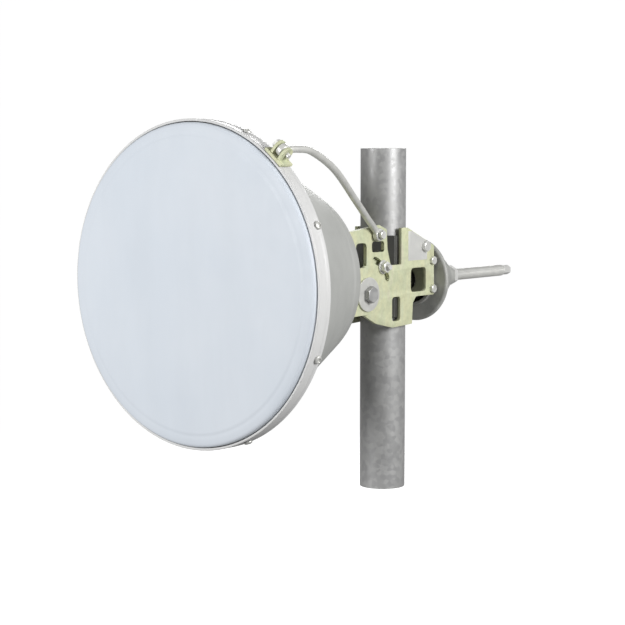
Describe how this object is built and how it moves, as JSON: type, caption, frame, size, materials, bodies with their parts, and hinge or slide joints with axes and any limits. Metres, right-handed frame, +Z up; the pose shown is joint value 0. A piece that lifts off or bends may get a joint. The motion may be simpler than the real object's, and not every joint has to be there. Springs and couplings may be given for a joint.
{
  "type": "pole-mounted parabolic antenna",
  "caption": "Small point-to-point parabolic antenna: flat round radome, conical back, tilting yoke and brace, clamped to a vertical mast by a bracket with a rear jack screw.",
  "frame": {"origin": "centre of the mast's bottom face, on the mast's axis", "axes": "+Z up along the mast, -Y the way the antenna looks, +X to the right when looking along +Y from the front"},
  "size_m": [0.39, 0.68, 0.487],
  "materials": {
    "radome_plastic": "fine matte, pale blue-grey",
    "gasket_rubber": "matte black",
    "rim_paint": "powder coated pale grey",
    "shell_paint": "powder coated mid grey",
    "spun_aluminium": "spun",
    "zinc_chromate": "yellow-olive passivated zinc",
    "galvanised_steel": "hot-dip galvanised",
    "bolt_steel": "zinc plated",
    "cast_grey": "painted dark grey",
    "black_steel": "black oxide",
    "dielectric_plastic": "natural",
    "plated_brass": "plated"
  },
  "bodies": {
    "mast_pipe": {"mast": "galvanised_steel"},
    "pole_bracket": {"side_plate_right": "zinc_chromate", "side_plate_left": "zinc_chromate", "front_jaw": "black_steel", "pivot_bolt": "galvanised_steel", "pivot_nut": "bolt_steel", "pivot_washer_right": "bolt_steel", "pivot_washer_left": "bolt_steel", "lock_bolt_right": "bolt_steel", "lock_washer_right": "bolt_steel", "lock_nut_right": "bolt_steel", "lock_bolt_left": "bolt_steel", "lock_washer_left": "bolt_steel", "lock_nut_left": "bolt_steel", "spacer": "bolt_steel", "spacer_bolt": "bolt_steel", "spacer_nut": "bolt_steel", "rear_bridge": "zinc_chromate", "bridge_screw_right_upper": "bolt_steel", "bridge_screw_right_lower": "bolt_steel", "bridge_screw_left_upper": "bolt_steel", "bridge_screw_left_lower": "bolt_steel", "screw_bonnet": "cast_grey", "screw_lock_nut": "bolt_steel"},
    "dish_head": {"radome": "radome_plastic", "radome_gasket": "gasket_rubber", "rim_band": "rim_paint", "rim_screw_1": "bolt_steel", "rim_screw_2": "bolt_steel", "rim_screw_3": "bolt_steel", "rim_screw_4": "bolt_steel", "rim_screw_5": "bolt_steel", "rim_screw_6": "bolt_steel", "rim_screw_7": "bolt_steel", "rim_screw_8": "bolt_steel", "reflector": "spun_aluminium", "rear_shell": "shell_paint", "hub_tube": "spun_aluminium", "hub_plate": "zinc_chromate", "hub_bolt_1": "bolt_steel", "hub_bolt_2": "bolt_steel", "hub_bolt_3": "bolt_steel", "hub_bolt_4": "bolt_steel", "tilt_yoke": "zinc_chromate", "rim_ear": "zinc_chromate", "brace": "bolt_steel", "brace_bolt_upper": "bolt_steel", "brace_bolt_lower": "bolt_steel"},
    "feed_assembly": {"feed_tube": "spun_aluminium", "feed_cone": "dielectric_plastic", "subreflector": "spun_aluminium", "feed_flange": "plated_brass", "feed_connector": "plated_brass"},
    "clamp_jaw": {"rear_jaw": "black_steel", "thrust_cap": "black_steel"},
    "jack_screw": {"clamp_screw": "bolt_steel"}
  },
  "joints": [
    {"name": "azimuth_turn", "type": "hinge", "parent": "mast_pipe", "child": "pole_bracket", "pos_m": [0, 0, 0.292], "axis": [0, 0, 1], "continuous": true},
    {"name": "elevation_tilt", "type": "hinge", "parent": "pole_bracket", "child": "dish_head", "pos_m": [0, -0.092, 0.266], "axis": [-1, 0, 0], "range_deg": [-20, 20]},
    {"name": "polarisation_turn", "type": "hinge", "parent": "dish_head", "child": "feed_assembly", "pos_m": [0, -0.17, 0.292], "axis": [0, 1, 0], "range_deg": [0, 90]},
    {"name": "jaw_slide", "type": "slide", "parent": "pole_bracket", "child": "clamp_jaw", "axis": [0, 1, 0], "range_m": [0, 0.009]},
    {"name": "screw_turn", "type": "hinge", "parent": "clamp_jaw", "child": "jack_screw", "pos_m": [0, 0.1, 0.275], "axis": [0, 1, 0], "range_deg": [0, 1620]}
  ],
  "couplings": [
    {"joint": "screw_turn", "follows": "jaw_slide", "rad_per_m": 3141.6}
  ]
}
